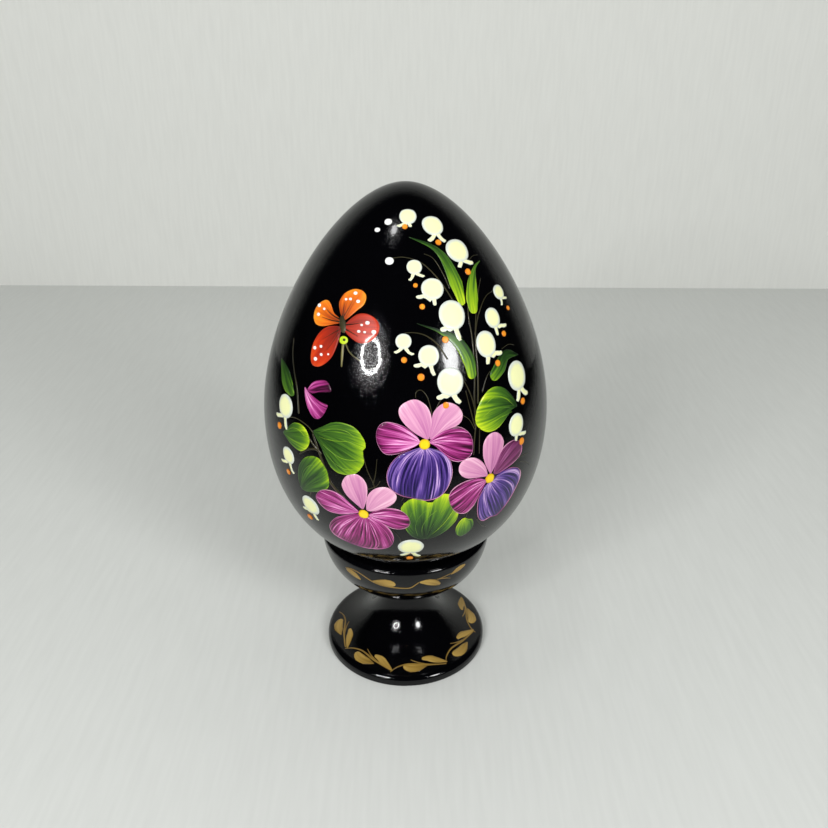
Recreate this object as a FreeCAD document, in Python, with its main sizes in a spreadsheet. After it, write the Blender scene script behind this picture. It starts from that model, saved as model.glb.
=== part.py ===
import FreeCAD, Part
import math
import os

import Sketcher
from FreeCAD import Vector

# A painted wooden egg that stands loose in the cup of a turned wooden stand.
# Frame: origin at the centre of the foot's flat base, +Z up along the turning axis.

# Driving dimensions in millimetres. Heights on the stand are above its base and
# heights on the egg are above the egg's own bottom. A "pull" is how far a curve's
# control point stands from the curve's end, so a longer pull makes a flatter end.
DIMENSIONS = {
    "egg_radius": 30.0,
    "egg_height": 81.5,
    "egg_widest_height": 33.6,
    "egg_bottom_pull": 16.05,
    "egg_lower_side_pull": 23.0,
    "egg_upper_side_pull": 21.7,
    "egg_top_pull": 12.3,
    "egg_seat_height": 27.66,
    "foot_radius": 19.0,
    "foot_base_round": 0.2,
    "foot_edge_height": 2.5,
    "foot_edge_round": 1.6,
    "flare_lower_pull": 6.0,
    "flare_lower_rise": 0.9,
    "flare_upper_pull": 7.4,
    "neck_radius": 5.8,
    "neck_height": 15.2,
    "neck_cove": 1.0,
    "bowl_radius": 19.1,
    "bowl_bottom_pull": 7.3,
    "bowl_bottom_rise": 3.4,
    "bowl_side_pull": 8.3,
    "bowl_side_flare": 0.75,
    "rim_height": 32.0,
    "rim_outer_round": 0.9,
    "rim_inner_round": 0.4,
    "cup_mouth_radius": 16.4,
    "cup_depth": 10.0,
}

# The loose egg is drawn this far off the cup's edge, so that the two never overlap.
SEAT_GAP_LIMITS = (0.02, 0.15)

# Sketch places, as (geometry, position): the origin, an arc's or line's two ends,
# and the centre of an arc. UP_AXIS is the sketch's own vertical axis.
ORIGIN = (-1, 1)
UP_AXIS = -2
START, END, CENTRE = 1, 2, 3


def make_sheet(doc):
    """The spreadsheet that the sketches read their sizes from."""
    sheet = doc.addObject("Spreadsheet::Sheet", "sizes")
    for row, (name, value) in enumerate(DIMENSIONS.items(), start=1):
        sheet.set(f"A{row}", name)
        sheet.set(f"B{row}", str(value))
        sheet.setAlias(f"B{row}", name)
    doc.recompute()


def make_body(doc, label):
    """An empty PartDesign body, named as its node is."""
    body = doc.addObject("PartDesign::Body", label)
    body.Label = label
    return body


def make_profile(body, name):
    """A sketch on the body's own XZ plane: across is the radius, up is the height."""
    planes = [feature for feature in body.Origin.OriginFeatures if feature.Role == "XZ_Plane"]
    sketch = body.newObject("Sketcher::SketchObject", name)
    sketch.AttachmentSupport = [(planes[0], "")]
    sketch.MapMode = "FlatFace"
    return sketch


def revolve(body, kind, name, sketch):
    """Turn the profile a full circle about the sketch's vertical axis."""
    feature = body.newObject(kind, name)
    feature.Profile = sketch
    feature.ReferenceAxis = (sketch, ["V_Axis"])
    feature.Angle = 360.0
    return feature


def add_line(sketch, start, end, construction=False):
    line = Part.LineSegment(Vector(*start, 0), Vector(*end, 0))
    return sketch.addGeometry(line, construction)


def add_arc(sketch, centre, radius, start_degrees, end_degrees):
    """An arc that runs anticlockwise from its start to its end."""
    circle = Part.Circle(Vector(*centre, 0), Vector(0, 0, 1), radius)
    arc = Part.ArcOfCircle(circle, math.radians(start_degrees), math.radians(end_degrees))
    return sketch.addGeometry(arc, False)


def add_bezier(sketch, points):
    """A cubic curve; returns the places of its four control points."""
    curve = Part.BSplineCurve()
    poles = [Vector(*point, 0) for point in points]
    curve.buildFromPolesMultsKnots(poles, [4, 4], [0.0, 1.0], False, 3)
    index = sketch.addGeometry(curve, False)
    sketch.exposeInternalGeometry(index)
    return [(index + corner, CENTRE) for corner in range(1, 5)]


def join(sketch, one, other):
    """Make two points of the outline one."""
    sketch.addConstraint(Sketcher.Constraint("Coincident", *one, *other))


def smooth(sketch, one, other):
    """Join two ends so that the outline runs on in the same direction."""
    sketch.addConstraint(Sketcher.Constraint("Tangent", *one, *other))


def align(sketch, direction, one, other):
    """Keep two points level ("Horizontal") or one above the other ("Vertical")."""
    sketch.addConstraint(Sketcher.Constraint(direction, *one, *other))


def measure(sketch, kind, places, name, expression):
    """Add a dimension and tie it to the spreadsheet."""
    value = sketch.evalExpression(expression)
    index = sketch.addConstraint(Sketcher.Constraint(kind, *places, value))
    sketch.renameConstraint(index, name)
    sketch.setExpression(f"Constraints.{name}", expression)


def place_point(sketch, place, name, across=None, up=None):
    """Dimension a point from the origin, in one direction or in both."""
    if across:
        measure(sketch, "DistanceX", (*ORIGIN, *place), f"{name}_across", across)
    if up:
        measure(sketch, "DistanceY", (*ORIGIN, *place), f"{name}_up", up)


def smooth_into_bezier(sketch, arc_end, points, control):
    """Run an arc on smoothly into a curve, by a construction line to the curve's control."""
    line = add_line(sketch, *points, construction=True)
    join(sketch, (line, END), control)
    smooth(sketch, (line, START), arc_end)


def make_egg(doc, d):
    """The egg: one outline of two curves that meet upright at the widest height."""
    body = make_body(doc, "egg")
    sketch = make_profile(body, "egg_profile")
    radius, height, widest = d["egg_radius"], d["egg_height"], d["egg_widest_height"]
    axis = add_line(sketch, (0, height), (0, 0))
    lower = add_bezier(sketch, [
        (0, 0),
        (d["egg_bottom_pull"], 0),
        (radius, widest - d["egg_lower_side_pull"]),
        (radius, widest),
    ])
    upper = add_bezier(sketch, [
        (radius, widest),
        (radius, widest + d["egg_upper_side_pull"]),
        (d["egg_top_pull"], height),
        (0, height),
    ])
    join(sketch, lower[0], ORIGIN)
    join(sketch, (axis, END), lower[0])
    join(sketch, (axis, START), upper[3])
    join(sketch, lower[3], upper[0])
    sketch.addConstraint(Sketcher.Constraint("Vertical", axis))
    align(sketch, "Horizontal", lower[0], lower[1])
    align(sketch, "Vertical", lower[2], lower[3])
    align(sketch, "Vertical", upper[0], upper[1])
    align(sketch, "Horizontal", upper[2], upper[3])
    place_point(sketch, lower[3], "widest", "sizes.egg_radius", "sizes.egg_widest_height")
    place_point(sketch, upper[3], "top", up="sizes.egg_height")
    place_point(sketch, lower[1], "bottom_control", across="sizes.egg_bottom_pull")
    place_point(sketch, upper[2], "top_control", across="sizes.egg_top_pull")
    place_point(sketch, lower[2], "lower_side_control",
                up="sizes.egg_widest_height - sizes.egg_lower_side_pull")
    place_point(sketch, upper[1], "upper_side_control",
                up="sizes.egg_widest_height + sizes.egg_upper_side_pull")
    revolve(body, "PartDesign::Revolution", "egg_turned", sketch)
    body.setExpression("Placement.Base.z", "sizes.egg_seat_height")
    return body


def add_foot_outline(sketch, d):
    """Flat base, rounded edge band and the flare up to the neck; returns its two ends."""
    radius, base_round = d["foot_radius"], d["foot_base_round"]
    edge_height, edge_round = d["foot_edge_height"], d["foot_edge_round"]
    flare_degrees = math.degrees(math.atan2(d["flare_lower_pull"], d["flare_lower_rise"]))
    flare_start = (
        radius - edge_round + edge_round * math.cos(math.radians(flare_degrees)),
        edge_height - edge_round + edge_round * math.sin(math.radians(flare_degrees)),
    )
    flare_control = (flare_start[0] - d["flare_lower_pull"], flare_start[1] + d["flare_lower_rise"])
    neck = (d["neck_radius"], d["neck_height"])

    base = add_line(sketch, (0, 0), (radius - base_round, 0))
    lower_round = add_arc(sketch, (radius - base_round, base_round), base_round, 270, 360)
    band = add_line(sketch, (radius, base_round), (radius, edge_height - edge_round))
    upper_round = add_arc(sketch, (radius - edge_round, edge_height - edge_round), edge_round,
                          0, flare_degrees)
    flare = add_bezier(sketch, [
        flare_start,
        flare_control,
        (neck[0], neck[1] - d["flare_upper_pull"]),
        neck,
    ])
    join(sketch, (base, START), ORIGIN)
    sketch.addConstraint(Sketcher.Constraint("Horizontal", base))
    smooth(sketch, (base, END), (lower_round, START))
    smooth(sketch, (lower_round, END), (band, START))
    sketch.addConstraint(Sketcher.Constraint("Vertical", band))
    smooth(sketch, (band, END), (upper_round, START))
    join(sketch, (upper_round, END), flare[0])
    smooth_into_bezier(sketch, (upper_round, END), (flare_start, flare_control), flare[1])
    align(sketch, "Vertical", flare[2], flare[3])

    place_point(sketch, (band, START), "foot", across="sizes.foot_radius")
    measure(sketch, "Radius", (lower_round,), "base_round", "sizes.foot_base_round")
    measure(sketch, "Radius", (upper_round,), "edge_round", "sizes.foot_edge_round")
    place_point(sketch, (upper_round, CENTRE), "edge_round_centre",
                up="sizes.foot_edge_height - sizes.foot_edge_round")
    measure(sketch, "DistanceX", (*flare[1], *flare[0]), "flare_lower_pull", "sizes.flare_lower_pull")
    measure(sketch, "DistanceY", (*flare[0], *flare[1]), "flare_lower_rise", "sizes.flare_lower_rise")
    measure(sketch, "DistanceY", (*flare[2], *flare[3]), "flare_upper_pull", "sizes.flare_upper_pull")
    place_point(sketch, flare[3], "neck", "sizes.neck_radius", "sizes.neck_height")
    return (base, START), flare[3]


def add_bowl_outline(sketch, d, neck_place):
    """Cove above the neck, the bowl's outside and the rim's rounded outer edge."""
    neck = (d["neck_radius"], d["neck_height"])
    cove, rim_round = d["neck_cove"], d["rim_outer_round"]
    bottom_degrees = math.degrees(math.atan2(d["bowl_bottom_rise"], d["bowl_bottom_pull"]))
    side_degrees = math.degrees(math.atan2(d["bowl_side_flare"], d["bowl_side_pull"]))
    cove_centre = (neck[0] + cove, neck[1])
    cove_degrees = 90 + bottom_degrees
    bowl_start = (
        cove_centre[0] + cove * math.cos(math.radians(cove_degrees)),
        cove_centre[1] + cove * math.sin(math.radians(cove_degrees)),
    )
    rim_centre = (d["bowl_radius"] - rim_round, d["rim_height"] - rim_round)
    bowl_end = (
        rim_centre[0] + rim_round * math.cos(math.radians(side_degrees)),
        rim_centre[1] - rim_round * math.sin(math.radians(side_degrees)),
    )
    bottom_control = (bowl_start[0] + d["bowl_bottom_pull"], bowl_start[1] + d["bowl_bottom_rise"])
    side_control = (bowl_end[0] - d["bowl_side_flare"], bowl_end[1] - d["bowl_side_pull"])

    cove_arc = add_arc(sketch, cove_centre, cove, cove_degrees, 180)
    bowl = add_bezier(sketch, [bowl_start, bottom_control, side_control, bowl_end])
    rim = add_arc(sketch, rim_centre, rim_round, -side_degrees, 90)
    join(sketch, (cove_arc, END), neck_place)
    align(sketch, "Horizontal", (cove_arc, END), (cove_arc, CENTRE))
    join(sketch, (cove_arc, START), bowl[0])
    smooth_into_bezier(sketch, (cove_arc, START), (bowl_start, bottom_control), bowl[1])
    join(sketch, bowl[3], (rim, START))
    smooth_into_bezier(sketch, (rim, START), (bowl_end, side_control), bowl[2])
    align(sketch, "Vertical", (rim, CENTRE), (rim, END))

    measure(sketch, "Radius", (cove_arc,), "neck_cove", "sizes.neck_cove")
    measure(sketch, "DistanceX", (*bowl[0], *bowl[1]), "bottom_pull", "sizes.bowl_bottom_pull")
    measure(sketch, "DistanceY", (*bowl[0], *bowl[1]), "bottom_rise", "sizes.bowl_bottom_rise")
    measure(sketch, "DistanceX", (*bowl[2], *bowl[3]), "side_flare", "sizes.bowl_side_flare")
    measure(sketch, "DistanceY", (*bowl[2], *bowl[3]), "side_pull", "sizes.bowl_side_pull")
    measure(sketch, "Radius", (rim,), "rim_round", "sizes.rim_outer_round")
    place_point(sketch, (rim, CENTRE), "rim_round_centre",
                across="sizes.bowl_radius - sizes.rim_outer_round")
    place_point(sketch, (rim, END), "rim", up="sizes.rim_height")
    return (rim, END)


def add_cup_outline(sketch, d):
    """The hollow's section: a spherical floor that rolls over the rim's inner edge."""
    mouth, rim_height, inner_round = d["cup_mouth_radius"], d["rim_height"], d["rim_inner_round"]
    floor_height = rim_height - d["cup_depth"]
    top_height = rim_height + inner_round
    # The floor's sphere touches the inner round from outside, which sets its radius.
    drop = d["cup_depth"] - inner_round
    sphere = (mouth ** 2 + drop ** 2 - inner_round ** 2) / (2 * (drop + inner_round))
    floor_centre = (0, floor_height + sphere)
    round_centre = (mouth, rim_height - inner_round)
    touch_degrees = math.degrees(math.atan2(round_centre[1] - floor_centre[1], mouth))

    floor = add_arc(sketch, floor_centre, sphere, 270, 360 + touch_degrees)
    edge = add_arc(sketch, round_centre, inner_round, 90, 180 + touch_degrees)
    side = add_line(sketch, (mouth, rim_height), (mouth, top_height))
    top = add_line(sketch, (mouth, top_height), (0, top_height))
    axis = add_line(sketch, (0, top_height), (0, floor_height))
    smooth(sketch, (floor, END), (edge, END))
    join(sketch, (edge, START), (side, START))
    align(sketch, "Vertical", (edge, CENTRE), (edge, START))
    sketch.addConstraint(Sketcher.Constraint("Vertical", side))
    join(sketch, (side, END), (top, START))
    sketch.addConstraint(Sketcher.Constraint("Horizontal", top))
    join(sketch, (top, END), (axis, START))
    join(sketch, (axis, END), (floor, START))
    sketch.addConstraint(Sketcher.Constraint("PointOnObject", *(floor, CENTRE), UP_AXIS))
    sketch.addConstraint(Sketcher.Constraint("PointOnObject", *(axis, START), UP_AXIS))
    sketch.addConstraint(Sketcher.Constraint("PointOnObject", *(axis, END), UP_AXIS))

    measure(sketch, "Radius", (edge,), "inner_round", "sizes.rim_inner_round")
    place_point(sketch, (edge, START), "mouth", "sizes.cup_mouth_radius", "sizes.rim_height")
    place_point(sketch, (axis, START), "top", up="sizes.rim_height + sizes.rim_inner_round")
    place_point(sketch, (axis, END), "floor", up="sizes.rim_height - sizes.cup_depth")


def make_stand(doc, d):
    """Foot, neck and bowl turned from one piece of wood, with the cup hollowed out."""
    body = make_body(doc, "stand")
    outside = make_profile(body, "stand_profile")
    foot_start, neck_place = add_foot_outline(outside, d)
    rim_end = add_bowl_outline(outside, d, neck_place)
    lip = add_line(outside, (d["bowl_radius"] - d["rim_outer_round"], d["rim_height"]),
                   (0, d["rim_height"]))
    axis = add_line(outside, (0, d["rim_height"]), (0, 0))
    join(outside, (lip, START), rim_end)
    outside.addConstraint(Sketcher.Constraint("Horizontal", lip))
    join(outside, (lip, END), (axis, START))
    join(outside, (axis, END), foot_start)
    outside.addConstraint(Sketcher.Constraint("Vertical", axis))
    revolve(body, "PartDesign::Revolution", "stand_turned", outside)
    doc.recompute()

    inside = make_profile(body, "cup_profile")
    add_cup_outline(inside, d)
    revolve(body, "PartDesign::Groove", "cup_hollow", inside)
    return body


def check_model(doc, egg, stand):
    """Stop if a feature failed, a sketch is loose, or the egg is not on the cup's edge."""
    for obj in doc.Objects:
        failed = [state for state in obj.State if state in ("Invalid", "Error")]
        if failed:
            raise RuntimeError(f"{obj.Label} is {failed}")
        if obj.TypeId == "Sketcher::SketchObject" and obj.solve() != 0:
            raise RuntimeError(f"{obj.Label} does not solve")
    for body in (egg, stand):
        shape = body.Shape
        if shape.isNull() or not shape.isValid() or len(shape.Solids) != 1:
            raise RuntimeError(f"{body.Label} is not one valid solid")
        print(f"{body.Label}: volume {shape.Volume:.1f} mm3, top {shape.BoundBox.ZMax:.2f} mm")
    solid = stand.Group[1].Shape.Volume
    print(f"cup hollow removes {solid - stand.Shape.Volume:.1f} mm3")
    gap = egg.Shape.distToShape(stand.Shape)[0]
    print(f"egg to cup gap {gap:.3f} mm")
    if not SEAT_GAP_LIMITS[0] < gap < SEAT_GAP_LIMITS[1]:
        raise RuntimeError("egg_seat_height does not set the egg on the cup's edge")


def write_parts(bodies):
    os.makedirs("parts", exist_ok=True)
    for body in bodies:
        body.Shape.exportStep(f"parts/{body.Label}.step")


def main():
    doc = FreeCAD.newDocument("egg_on_stand")
    make_sheet(doc)
    egg = make_egg(doc, DIMENSIONS)
    stand = make_stand(doc, DIMENSIONS)
    doc.recompute()
    check_model(doc, egg, stand)
    write_parts([egg, stand])


main()
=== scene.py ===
import math

import bpy
import numpy as np
from mathutils import Matrix, Vector


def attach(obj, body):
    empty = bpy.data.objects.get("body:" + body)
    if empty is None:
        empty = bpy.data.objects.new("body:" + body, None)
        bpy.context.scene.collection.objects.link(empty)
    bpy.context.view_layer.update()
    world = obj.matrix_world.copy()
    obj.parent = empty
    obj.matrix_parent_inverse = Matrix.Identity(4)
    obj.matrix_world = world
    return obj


# A black lacquered wooden egg, painted with flowers, loose on its turned stand.
# The frame's nodes "egg" and "stand" are the wood under its lacquer. Everything added
# here is paint: thin raised dabs that follow the lacquered skin.
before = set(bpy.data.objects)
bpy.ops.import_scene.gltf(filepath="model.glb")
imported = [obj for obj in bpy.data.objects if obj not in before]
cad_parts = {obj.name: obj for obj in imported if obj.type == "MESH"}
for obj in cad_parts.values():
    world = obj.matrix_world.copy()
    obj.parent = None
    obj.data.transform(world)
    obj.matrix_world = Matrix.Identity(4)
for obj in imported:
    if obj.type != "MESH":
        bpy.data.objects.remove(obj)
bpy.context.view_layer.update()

MM = 0.001

# ---------------------------------------------------------------- turned skins


class Skin:
    """The outside of a turned piece.

    A place on it is (longitude, along): longitude in degrees, 0 on the painted front
    (-Y) and growing towards +X; along in mm, measured up the outline.
    """

    STEPS = 2400

    def __init__(self, outline):
        pieces = np.hypot(*np.diff(outline, axis=0).T)
        length = np.concatenate([[0.0], np.cumsum(pieces)])
        self.total = length[-1]
        self.along = np.linspace(0.0, self.total, self.STEPS)
        self.radius = np.interp(self.along, length, outline[:, 0])
        self.height = np.interp(self.along, length, outline[:, 1])
        across = np.gradient(self.radius, self.along)
        upward = np.gradient(self.height, self.along)
        size = np.hypot(across, upward)
        self.out = upward / size
        self.up = -across / size

    def radius_at(self, along):
        return np.interp(along, self.along, self.radius)

    def along_of(self, height):
        return np.interp(height, self.height, self.along)

    def place(self, longitude, along, lift):
        """Points in metres, lift mm off the skin."""
        turn = np.radians(longitude)
        out = self.radius_at(along) + lift * np.interp(along, self.along, self.out)
        up = np.interp(along, self.along, self.height)
        up = up + lift * np.interp(along, self.along, self.up)
        return MM * np.stack([out * np.sin(turn), -out * np.cos(turn), up], axis=-1)

    def flatten(self, places, origin):
        """Places as mm on a sheet laid along the origin's own meridian."""
        places = np.asarray(places, float)
        across = np.radians(places[..., 0] - origin[0]) * self.radius_at(places[..., 1])
        return np.stack([across, places[..., 1] - origin[1]], axis=-1)

    def wrap(self, sheet, origin):
        """The way back from flatten()."""
        along = sheet[..., 1] + origin[1]
        longitude = origin[0] + np.degrees(sheet[..., 0] / self.radius_at(along))
        return longitude, along


def node_outline(node, keep, order):
    """A turned node's outline as (radius, height) in mm, read from its own vertices."""
    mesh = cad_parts[node].data
    points = np.array([vertex.co for vertex in mesh.vertices], float) / MM
    rings = np.stack([np.hypot(points[:, 0], points[:, 1]), points[:, 2]], axis=1)
    rings = np.unique(rings.round(3), axis=0)
    rings = rings[[keep(radius, height) for radius, height in rings]]
    return rings[np.argsort([order(radius, height) for radius, height in rings])]


EGG_MIDDLE = 61.0    # height in mm that the egg's outline is sorted round
EGG = Skin(node_outline("egg", lambda r, h: True, lambda r, h: math.atan2(h - EGG_MIDDLE, r)))

# The stand's paint lies on the foot's top and the bowl's outside. These radii and heights
# in mm cut the two out of the stand; the sphere leaves out the cup.
NECK_RADIUS = 5.9
FOOT_EDGE, FOOT_TOP = 0.19, 14.6
BOWL_START, BOWL_END = 16.3, 31.3
CUP_CENTRE_HEIGHT, CUP_OUTSIDE = 40.0, 18.7


def on_foot(radius, height):
    return radius > NECK_RADIUS and FOOT_EDGE < height < FOOT_TOP


def on_bowl(radius, height):
    outside_cup = math.hypot(radius, height - CUP_CENTRE_HEIGHT) > CUP_OUTSIDE
    return BOWL_START < height < BOWL_END and outside_cup


FOOT = Skin(node_outline("stand", on_foot, lambda r, h: h - r))
BOWL = Skin(node_outline("stand", on_bowl, lambda r, h: h + r))

# ---------------------------------------------------------------- dabs of paint

SINK = -0.03      # a dab's rim ends this far under the lacquer's surface, mm
FILM = 0.035      # thickness of the first coat of paint, mm
LAYER = 0.028     # each coat over another stands this much prouder, mm
BEVEL = 0.72      # height just inside a dab's rim, as a share of its full height

CURVE_STEPS = 24          # points on a smooth path from one given point to the next
RIM_CROWDING = 0.08       # a higher share crowds a dab's rows less towards its rim
UV_SHIFT = (17.3, 9.1)    # moves each dab's streaks on, so that no two match

PETAL_ROWS = 15           # rows of a petal's grid, from its base to its tip
PETAL_START = 0.02        # share of its length where the first row lies
PETAL_EDGE = 0.86, 0.82   # where its rim begins, along and across its strokes
PETAL_SAMPLES = 400       # points that its outline is read from

STROKE_ROWS = 8, 60       # fewest and most rows of a ribbon's grid
STROKE_EDGE = 0.55        # share of its half width where a ribbon's or spot's rim begins
STROKE_SAMPLES = 200      # points that its spine is read from


def smooth_path(points, count):
    """Evenly spaced points on a Catmull-Rom curve through the given ones."""
    points = np.asarray(points, float)
    ends = np.vstack([2 * points[0] - points[1], points, 2 * points[-1] - points[-2]])
    pieces = []
    for start in range(len(points) - 1):
        before, here, there, after = ends[start:start + 4]
        t = np.linspace(0, 1, CURVE_STEPS, endpoint=False)[:, None]
        pieces.append(0.5 * (
            2 * here
            + (there - before) * t
            + (2 * before - 5 * here + 4 * there - after) * t ** 2
            + (3 * here - before - 3 * there + after) * t ** 3
        ))
    path = np.vstack(pieces + [points[-1:]])
    length = np.concatenate([[0], np.cumsum(np.linalg.norm(np.diff(path, axis=0), axis=1))])
    wanted = np.linspace(0, length[-1], count)
    return np.stack([np.interp(wanted, length, path[:, axis]) for axis in range(path.shape[1])], 1)


def crowded_ends(count):
    """Numbers from 0 to 1 that crowd towards both ends, where a dab rolls over."""
    inner = np.linspace(0, 1, count - 2)
    inner = 0.5 - 0.5 * np.cos(math.pi * (RIM_CROWDING + (1 - 2 * RIM_CROWDING) * inner))
    return np.concatenate([[0.0], inner, [1.0]])


def step_up(value, low, high):
    """0 below low and 1 above high, with a smooth rise between."""
    t = np.clip((value - low) / (high - low), 0, 1)
    return t * t * (3 - 2 * t)


def point_on(path, where):
    """Points at the given shares, from 0 to 1, of an evenly spaced path."""
    share = np.linspace(0, 1, len(path))
    return np.stack([np.interp(where, share, path[:, axis]) for axis in (0, 1)], -1)


def spread(values, where):
    """Evenly spread values read at the given shares from 0 to 1."""
    return np.interp(where, np.linspace(0, 1, len(values)), values)


class Coat:
    """One painted piece: dabs gathered into a mesh that rides on a body."""

    def __init__(self, name, skin, paints):
        self.name, self.skin, self.paints = name, skin, list(paints)
        self.vertices, self.faces, self.rims = [], [], []
        self.uv, self.tone, self.edge, self.material = [], [], [], []
        self.dabs = 0

    def add(self, longitude, along, sheet_uv, tone, edge, paint, layer):
        """Add a grid of skin places as a closed dab: raised top, sunk rim, hidden floor."""
        rows, columns = longitude.shape
        lift = np.full((rows, columns), FILM + layer * LAYER)
        lift[1], lift[-2], lift[:, 1], lift[:, -2] = (lift[0, 0] * BEVEL,) * 4
        lift[0], lift[-1], lift[:, 0], lift[:, -1] = (SINK,) * 4
        start = sum(len(block) for block in self.vertices)
        self.vertices.append(self.skin.place(longitude, along, lift).reshape(-1, 3))
        index = start + np.arange(rows * columns).reshape(rows, columns)
        quads = np.stack([index[:-1, :-1], index[:-1, 1:], index[1:, 1:], index[1:, :-1]], -1)
        self.faces += quads.reshape(-1, 4).tolist()
        rim = np.concatenate([index[0, :-1], index[:-1, -1], index[-1, :0:-1], index[:0:-1, 0]])
        self.faces.append(rim[::-1].tolist())
        self.rims.append(rim)
        shift = np.array(UV_SHIFT) * self.dabs
        self.uv.append((sheet_uv + shift).reshape(-1, 2))
        self.tone.append(np.broadcast_to(tone, (rows, columns)).ravel())
        self.edge.append(np.broadcast_to(edge, (rows, columns)).ravel())
        slot = self.paints.index(paint)
        self.material += [slot] * (quads.shape[0] * quads.shape[1] + 1)
        self.dabs += 1

    def petal(self, base, outline, paint, layer, tone, side=0.0, tip=0.34, columns=21):
        """A petal or broad leaf whose strokes leave its base and bow out along its sides.

        The middle share (tip) of the outline is where the strokes end; what is left on
        either side is a side that the outer strokes follow.
        """
        path = smooth_path([(0.0, 0.0), *self.skin.flatten(outline, base), (0.0, 0.0)], PETAL_SAMPLES)
        reach = PETAL_START + (1 - PETAL_START) * crowded_ends(PETAL_ROWS)
        share = crowded_ends(columns)
        start, end = 0.5 - tip / 2, 0.5 + tip / 2
        near = point_on(path, reach * start)[:, None]
        far = point_on(path, 1 - reach * (1 - end))[:, None]
        top = point_on(path, start + share * (end - start))[None]
        t, w = reach[:, None, None], share[None, :, None]
        sheet = (1 - w) * near + w * far + t * (top - (1 - w) * top[:, :1] - w * top[:, -1:])
        across = 2 * share[None, :] - 1
        width = np.linalg.norm(near - far, axis=-1).max() / 2
        length = np.linalg.norm(top, axis=-1).mean()
        uv = np.stack(np.broadcast_arrays(across * width, reach[:, None] * length), -1)
        shade = spread(tone, reach)[:, None] + side * across
        along_edge, across_edge = PETAL_EDGE
        edge = np.maximum(step_up(reach, along_edge, 1.0)[:, None],
                          step_up(np.abs(across), across_edge, 1.0))
        longitude, along = self.skin.wrap(sheet, base)
        self.add(longitude, along, uv, shade, edge, paint, layer)

    def ribbon(self, spine, widths, paint, layer, tone=(0.5, 0.5), side=0.0, columns=7, pace=0.35):
        """A leaf, stem or brush stroke along a spine; widths are half widths in mm."""
        origin = spine[0]
        sheet = self.skin.flatten(spine, origin)
        run = np.linalg.norm(np.diff(sheet, axis=0), axis=1).sum()
        rows = int(np.clip(run / pace, *STROKE_ROWS))
        steps = crowded_ends(rows)
        middle = point_on(smooth_path(sheet, STROKE_SAMPLES), steps)
        half = spread(widths, steps)
        gap = np.minimum(steps, 1 - steps) * run
        blunt = np.clip(gap / np.maximum(half, 1e-6), 0.0, 1.0)
        half = half * np.sqrt(np.clip(1 - (1 - blunt) ** 2, 0.02, 1))
        ahead = np.gradient(middle, axis=0)
        ahead /= np.linalg.norm(ahead, axis=1, keepdims=True)
        aside = np.stack([ahead[:, 1], -ahead[:, 0]], 1)
        across = 2 * crowded_ends(columns)[None, :] - 1
        sheet = middle[:, None, :] + aside[:, None, :] * (half[:, None] * across)[..., None]
        uv = np.stack([half[:, None] * across, np.broadcast_to(steps[:, None] * run, (rows, columns))], -1)
        shade = spread(tone, steps)[:, None] + side * across
        edge = step_up(np.abs(across), STROKE_EDGE, 1.0)
        longitude, along = self.skin.wrap(sheet, origin)
        self.add(longitude, along, uv, shade, edge, paint, layer)

    def spot(self, centre, half, paint, layer, tone, count=11):
        """A round or oval dab; half is its (across, up) half size in mm."""
        side = 2 * crowded_ends(count) - 1
        a, b = np.meshgrid(side, side)
        across, upward = a * np.sqrt(1 - b * b / 2), b * np.sqrt(1 - a * a / 2)
        sheet = np.stack([across * half[0], upward * half[1]], -1)
        edge = step_up(np.hypot(across, upward), STROKE_EDGE, 1.0)
        longitude, along = self.skin.wrap(sheet, centre)
        self.add(longitude, along, sheet, tone, edge, paint, layer)

    def build(self, body):
        """Make the Blender mesh and set it riding."""
        mesh = bpy.data.meshes.new(self.name)
        mesh.from_pydata(np.vstack(self.vertices).tolist(), [], self.faces)
        mesh.polygons.foreach_set("use_smooth", [True] * len(mesh.polygons))
        mesh.polygons.foreach_set("material_index", self.material)
        for name, blocks in (("tone", self.tone), ("edge", self.edge)):
            attribute = mesh.attributes.new(name, "FLOAT", "POINT")
            attribute.data.foreach_set("value", np.concatenate(blocks).astype(np.float32))
        layer = mesh.uv_layers.new(name="strokes")
        corners = np.empty(len(mesh.loops), np.int32)
        mesh.loops.foreach_get("vertex_index", corners)
        layer.data.foreach_set("uv", np.vstack(self.uv)[corners].astype(np.float32).ravel())
        rim_edges = {frozenset((int(one), int(other)))
                     for rim in self.rims for one, other in zip(rim, np.roll(rim, 1))}
        for line in mesh.edges:
            line.use_edge_sharp = frozenset(line.vertices) in rim_edges
        for paint in self.paints:
            mesh.materials.append(PAINTS[paint])
        mesh.validate()
        piece = bpy.data.objects.new(self.name, mesh)
        bpy.context.scene.collection.objects.link(piece)
        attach(piece, body)


# ---------------------------------------------------------------- materials


def srgb(red, green, blue):
    """A colour named in 0-255 screen values, as Blender's linear RGBA."""
    scaled = [channel / 255 for channel in (red, green, blue)]
    linear = [c / 12.92 if c <= 0.04045 else ((c + 0.055) / 1.055) ** 2.4 for c in scaled]
    return (*linear, 1.0)


def lighter(colour, factor):
    return (*(channel * factor for channel in colour[:3]), 1.0)


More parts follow.
